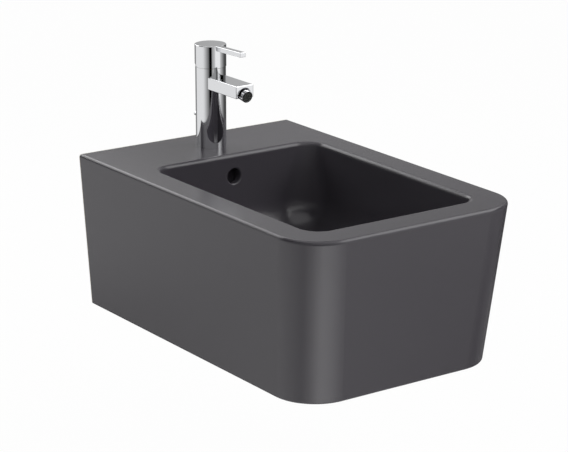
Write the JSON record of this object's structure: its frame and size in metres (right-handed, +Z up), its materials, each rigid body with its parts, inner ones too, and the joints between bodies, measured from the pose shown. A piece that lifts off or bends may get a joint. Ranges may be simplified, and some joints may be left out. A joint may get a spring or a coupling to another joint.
{
  "type": "wall-hung bidet",
  "caption": "Wall-hung bidet: tapered rectangular ceramic body with a sunken bowl, a single-lever mixer with a swivelling nozzle, and a pop-up waste worked by a lift knob.",
  "frame": {"origin": "midway between the two wall fixing holes, on the wall face", "axes": "+X to the right seen from the front, +Y into the wall, +Z up; the front faces -Y"},
  "size_m": [0.3674, 0.5594, 0.383],
  "materials": {
    "glazed_ceramic": "satin glaze",
    "chrome_plate": "polished",
    "brass": "machined",
    "zinc_plated_steel": "zinc plated",
    "stainless_steel": "drawn",
    "black_rubber": "moulded",
    "white_plastic": "moulded",
    "grey_plastic": "moulded",
    "disc_ceramic": "lapped"
  },
  "bodies": {
    "bidet": {"ceramic_body": "glazed_ceramic", "wall_sleeves": "white_plastic", "wall_washers": "zinc_plated_steel", "wall_nuts": "zinc_plated_steel", "mixer_body": "chrome_plate", "mixer_gasket": "black_rubber", "mixer_stud": "zinc_plated_steel", "clamp_gasket": "black_rubber", "clamp_plate": "zinc_plated_steel", "clamp_nut": "zinc_plated_steel", "cartridge_base": "white_plastic", "cartridge_base_seals": "black_rubber", "fixed_disc": "disc_ceramic", "cartridge_housing": "white_plastic", "cartridge_o_ring": "black_rubber", "cartridge_nut": "brass", "ball_stud": "brass", "pivot_seal": "black_rubber", "pivot_nut": "white_plastic", "waste_flange": "chrome_plate", "flange_seal": "black_rubber", "waste_gasket": "black_rubber", "waste_body": "brass"},
    "cartridge_rotor": {"cartridge_carrier": "white_plastic", "stem_pin": "stainless_steel"},
    "disc": {"moving_disc": "disc_ceramic"},
    "handle": {"handle": "chrome_plate", "handle_screw": "stainless_steel", "index_plug": "grey_plastic", "cartridge_stem": "brass"},
    "seat_ring": {"ball_seat_ring": "white_plastic"},
    "nozzle": {"nozzle": "chrome_plate", "aerator_insert": "grey_plastic"},
    "lift": {"lift_knob": "chrome_plate", "lift_rod": "stainless_steel", "link_strap": "zinc_plated_steel", "strap_clamp": "brass", "strap_screw": "zinc_plated_steel"},
    "pivot": {"pivot_rod": "stainless_steel"},
    "plug": {"waste_plug": "chrome_plate", "plug_seal": "black_rubber"}
  },
  "joints": [
    {"name": "handle_turn", "type": "hinge", "parent": "bidet", "child": "cartridge_rotor", "pos_m": [0, -0.0664, 0.186], "axis": [0, 0, 1], "range_deg": [-45, 45]},
    {"name": "handle_tip", "type": "hinge", "parent": "cartridge_rotor", "child": "handle", "pos_m": [0, -0.0664, 0.186], "axis": [-1, 0, 0], "range_deg": [0, 18]},
    {"name": "disc_slide", "type": "slide", "parent": "cartridge_rotor", "child": "disc", "axis": [0, -1, 0], "range_m": [0, 0.00293]},
    {"name": "nozzle_swing", "type": "hinge", "parent": "bidet", "child": "seat_ring", "pos_m": [0, -0.1497, 0.1732], "axis": [0, 0, 1], "range_deg": [-10, 10]},
    {"name": "nozzle_tilt", "type": "hinge", "parent": "seat_ring", "child": "nozzle", "pos_m": [0, -0.1497, 0.1732], "axis": [1, 0, 0], "range_deg": [-10, 10]},
    {"name": "knob_lift", "type": "slide", "parent": "bidet", "child": "lift", "axis": [0, 0, 1], "range_m": [0, 0.03]},
    {"name": "pivot_rock", "type": "hinge", "parent": "bidet", "child": "pivot", "pos_m": [0, -0.214, -0.117], "axis": [1, 0, 0], "range_deg": [0, 10.28]},
    {"name": "plug_drop", "type": "slide", "parent": "bidet", "child": "plug", "axis": [0, 0, -1], "range_m": [0, 0.00649]}
  ],
  "couplings": [
    {"joint": "disc_slide", "follows": "handle_tip", "m_per_rad": 0.0092566},
    {"joint": "pivot_rock", "follows": "knob_lift", "rad_per_m": 5.972},
    {"joint": "plug_drop", "follows": "knob_lift", "ratio": 0.21557}
  ]
}
